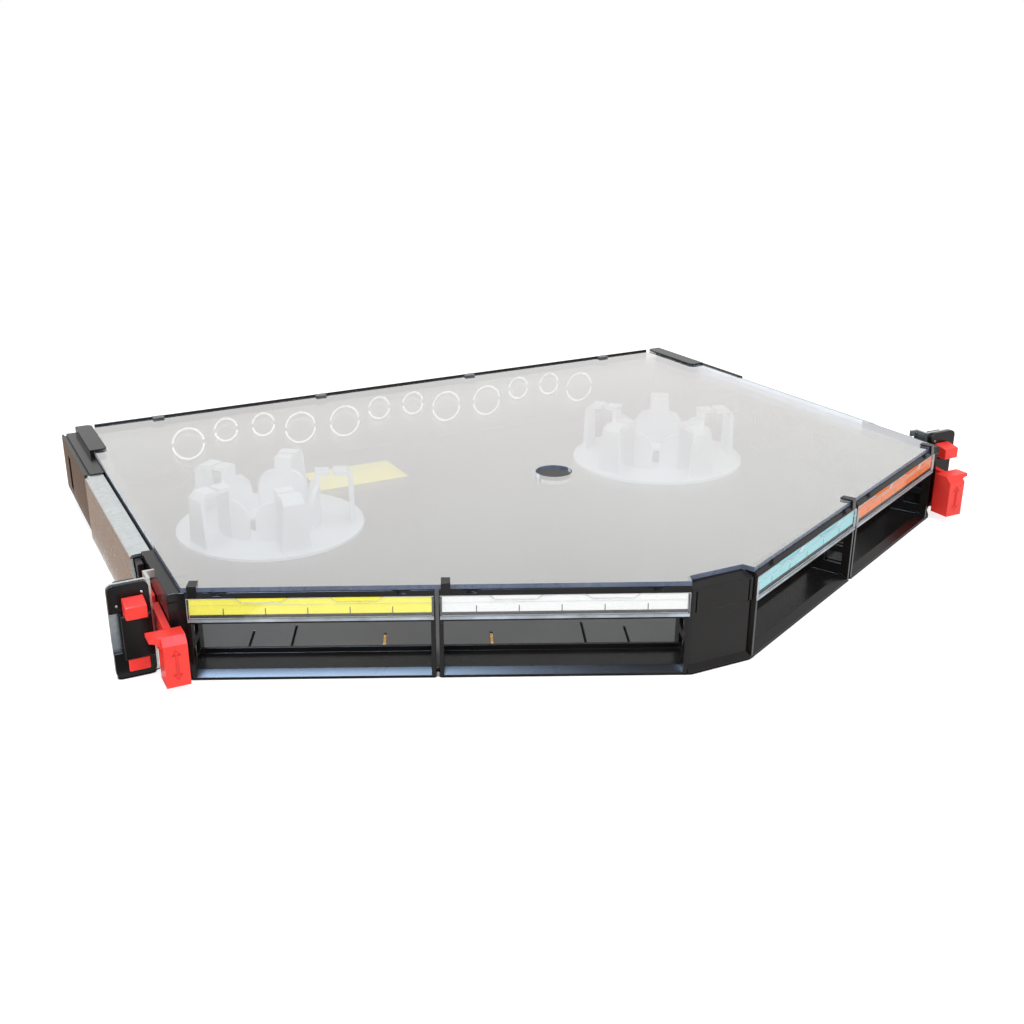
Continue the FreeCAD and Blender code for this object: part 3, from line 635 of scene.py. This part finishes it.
# Painted reflection: the foot's cool blue, mottled darker.
foot_reflection_blue = edge_tone_plastic(
    "blue_strip_foot_reflection", shades=((0.22, 0.24, 0.27), (0.62, 0.70, 0.80)), opacity=0.80, patches=55.0
)
for number in range(1, bay_count + 1):
    node = "label_cover_%d" % number
    strip = merged_copy(node, node + "_clear")
    foot_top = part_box(node)[0].z + strip_foot
    way = -1.0 if number <= bay_count / 2 else 1.0
    outward = Vector((way * sin(facet_turn), -cos(facet_turn), 0.0))
    draw_in(strip, -outward)
    split((0.0, 0.0, foot_top), (0.0, 0.0, 1.0))
    for finish in (clear_strip, edge_highlight_tone, foot_reflection_blue):
        strip.data.materials.append(finish)
    # The foot gets the painted blue reflection, and the rim faces the painted pale highlight.
    for face in strip.data.polygons:
        if face.center.z < foot_top:
            face.material_index = 2
        elif abs(face.normal.dot(outward)) < square_on:
            face.material_index = 1
    stand_in(strip, node)

# Top cover: one clear acrylic sheet that lies on the mouldings, under the hooks of the bays, the rear
# tabs and the guide blocks. Its sawn edges are painted by the way they face: dark blue in front, a
# painted reflection, and pale beside the rails, a painted highlight. A round finger hole lifts it out.
flat_side = 0.99
upright = 0.5
rear_facing = 0.3
# Painted reflection: the acrylic's gloss is tinted warm, a warm tone put into its reflections.
clear_acrylic = clear_sheet(
    "clear_acrylic",
    colour=(0.97, 0.985, 0.98),
    haze=0.045,
    mirror=1.46,
    falloff=3.2,
    gleam=((0.955, 0.925, 0.925), (0.985, 0.98, 0.965)),
)
edge_reflection_blue = edge_tone_plastic(
    "blue_acrylic_edge_reflection", shades=((0.058, 0.082, 0.150), (0.100, 0.130, 0.215)), opacity=0.9, patches=40.0
)
cover = merged_copy("top_cover", "top_cover_clear")
cap_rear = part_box("left_end_cap")[1].y
draw_in(cover, Vector((0.0, 0.0, -1.0)))
split((0.0, cap_rear, 0.0), (0.0, 1.0, 0.0))
for finish in (clear_acrylic, edge_reflection_blue, edge_highlight_tone):
    cover.data.materials.append(finish)
# Edges are painted by their facing: pale beside the rails as painted highlight, dark blue in front as
# painted reflection.
for face in cover.data.polygons:
    if abs(face.normal.x) > flat_side and face.center.y > cap_rear:
        face.material_index = 2
    elif abs(face.normal.z) < upright and face.normal.y < rear_facing:
        face.material_index = 1
stand_in(cover, "top_cover")

# Floor: a wide pale sweep under the unit, white to the camera and in reflections.
# It keeps the unit's soft shadow, and has painted shade, darkest where something stands close over it.
floor_half = 30.0
floor_drop = 0.0004
floor_pale = (0.82, 0.82, 0.82)
floor_glow = 0.765
floor_shadow_share = (0.53, 0.53, 0.53)
floor_painted_shade = (0.012, 0.012, 0.013)
floor_reach = 0.0016
floor_open = (0.6, 0.85)
floor_samples = 16


def seen_directly(tree):
    """1 for rays that show the surroundings: from the camera, in gloss and through glass."""
    rays = tree.nodes.new("ShaderNodeLightPath")
    shown = calculate(tree, "MAXIMUM", rays.outputs["Is Camera Ray"], rays.outputs["Is Glossy Ray"])
    return calculate(tree, "MAXIMUM", shown, rays.outputs["Is Transmission Ray"])


def uncovered(tree):
    """Mask of the floor's painted shade: 1 on the open floor, and less where something stands close over
    it.
    """
    reach = tree.nodes.new("ShaderNodeAmbientOcclusion")
    reach.samples = floor_samples
    reach.inputs["Distance"].default_value = floor_reach
    return reach.outputs["AO"]


def pale_floor():
    material = bpy.data.materials.new("pale_floor")
    material.use_nodes = True
    tree = material.node_tree
    tree.nodes.clear()
    output = tree.nodes.new("ShaderNodeOutputMaterial")
    plain = tree.nodes.new("ShaderNodeBsdfDiffuse")
    plain.inputs["Color"].default_value = (*floor_pale, 1.0)
    shaded = tree.nodes.new("ShaderNodeBsdfDiffuse")
    glow = tree.nodes.new("ShaderNodeEmission")
    painted_shade_mask = uncovered(tree)
    # Painted shade: close under the unit the floor's colour turns dark and its glow fades.
    tinted(tree, painted_shade_mask, floor_painted_shade, floor_shadow_share, shaded.inputs["Color"], floor_open)
    between(tree, painted_shade_mask, 0.0, floor_glow, glow.inputs["Strength"], floor_open)
    white = tree.nodes.new("ShaderNodeAddShader")
    tree.links.new(shaded.outputs["BSDF"], white.inputs[0])
    tree.links.new(glow.outputs["Emission"], white.inputs[1])
    chosen = tree.nodes.new("ShaderNodeMixShader")
    tree.links.new(seen_directly(tree), chosen.inputs["Fac"])
    tree.links.new(plain.outputs["BSDF"], chosen.inputs[1])
    tree.links.new(white.outputs["Shader"], chosen.inputs[2])
    tree.links.new(chosen.outputs["Shader"], output.inputs["Surface"])
    return material


bpy.ops.object.select_all(action="DESELECT")
bpy.ops.mesh.primitive_plane_add(size=2 * floor_half, location=(0.0, 0.0, -floor_drop))
floor = bpy.context.active_object
floor.name = "studio_floor"
floor.data.materials.append(pale_floor())

# Light: an even white room, with soft lamps from the front, the left and above. A cool strip overhead
# is seen only in gloss, and so are two glowing cards beside the left rail, which are painted
# reflections, one brown and one slate.
room_light = 0.45
front_lamp = {"place": (-0.15, -1.7, 1.0), "size": (1.2, 1.0), "power": 15.0, "colour": (1.0, 0.985, 0.97)}
left_lamp = {"place": (-1.6, -0.5, 0.7), "size": (0.8, 0.8), "power": 7.0, "colour": (1.0, 0.99, 0.98)}
upper_lamp = {"place": (-0.1, 0.1, 1.6), "size": (1.4, 1.2), "power": 11.0, "colour": (1.0, 1.0, 1.0)}
sky_strip = {"place": (-0.45, -0.2, 1.3), "size": (0.7, 0.5), "power": 70.0, "colour": (0.50, 0.70, 1.0)}
card_level = -floor_drop / 2
# Painted reflections: two glowing cards that only gloss rays see.
brown_reflection_card = {"place": (-0.536, 0.33, card_level), "size": (0.62, 0.74), "colour": (0.43, 0.27, 0.175)}
slate_reflection_card = {"place": (-0.29, -0.15, card_level), "size": (0.13, 0.14), "colour": (0.17, 0.20, 0.24)}


def soft_lamp(name, place, size, power, colour):
    lamp = bpy.data.lights.new(name, "AREA")
    lamp.shape = "RECTANGLE"
    lamp.size, lamp.size_y = size
    lamp.energy = power
    lamp.color = colour
    stand = bpy.data.objects.new(name, lamp)
    stand.location = place
    stand.rotation_euler = (-Vector(place)).to_track_quat("-Z", "Y").to_euler()
    bpy.context.collection.objects.link(stand)
    return stand


# A glowing card, no lamp: seen only in gloss, it paints a reflection.
def glowing_card(name, place, size, colour):
    bpy.ops.object.select_all(action="DESELECT")
    bpy.ops.mesh.primitive_plane_add(size=1.0, location=place)
    card = bpy.context.active_object
    card.name = name
    card.scale = (*size, 1.0)
    bpy.ops.object.transform_apply(location=True, rotation=True, scale=True)
    material, _, shader = new_finish(name, (0.0, 0.0, 0.0), roughness=1.0)
    shader.inputs["Emission Color"].default_value = (*colour, 1.0)
    shader.inputs["Emission Strength"].default_value = 1.0
    card.data.materials.append(material)
    return card


never_in_gloss = [
    soft_lamp("front_lamp", **front_lamp),
    soft_lamp("left_lamp", **left_lamp),
    soft_lamp("upper_lamp", **upper_lamp),
]
for source in never_in_gloss:
    source.visible_glossy = False
only_in_gloss = [
    soft_lamp("sky_strip", **sky_strip),
    glowing_card("brown_reflection_card", **brown_reflection_card),
    glowing_card("slate_reflection_card", **slate_reflection_card),
]
for source in only_in_gloss:
    source.visible_diffuse = False
    source.visible_transmission = False
    source.visible_camera = False
    source.visible_shadow = False

room = bpy.data.worlds.new("white_room")
room.use_nodes = True
backdrop = room.node_tree.nodes["Background"]
backdrop.inputs["Color"].default_value = (1.0, 1.0, 1.0, 1.0)
shown = seen_directly(room.node_tree)
between(room.node_tree, shown, room_light, 1.0, backdrop.inputs["Strength"], full_spread)
bpy.context.scene.world = room
bpy.context.scene.view_settings.view_transform = "Standard"

# Camera: at the photograph's viewing angle, to the left of the nose and above the cover.
# The picture is cropped to one side, which the lens shift follows.
camera_place = (-0.3021, -0.5493, 0.2501)
camera_azimuth = radians(-23.06)
camera_elevation = radians(20.84)
camera_roll = radians(-1.57)
picture_width = 1024.0
focal_pixels = 1187.5
centre_pixel = 410.0
sensor_width = 36.0
near_clip = 0.01

lens = bpy.data.cameras.new("photo_camera")
lens.sensor_width = sensor_width
lens.lens = sensor_width * focal_pixels / picture_width
lens.shift_x = (picture_width / 2 - centre_pixel) / picture_width
lens.clip_start = near_clip
camera = bpy.data.objects.new("photo_camera", lens)
camera.matrix_world = (
    Matrix.Translation(camera_place)
    @ Matrix.Rotation(camera_azimuth, 4, "Z")
    @ Matrix.Rotation(radians(90) - camera_elevation, 4, "X")
    @ Matrix.Rotation(camera_roll, 4, "Z")
)
bpy.context.collection.objects.link(camera)
bpy.context.scene.camera = camera
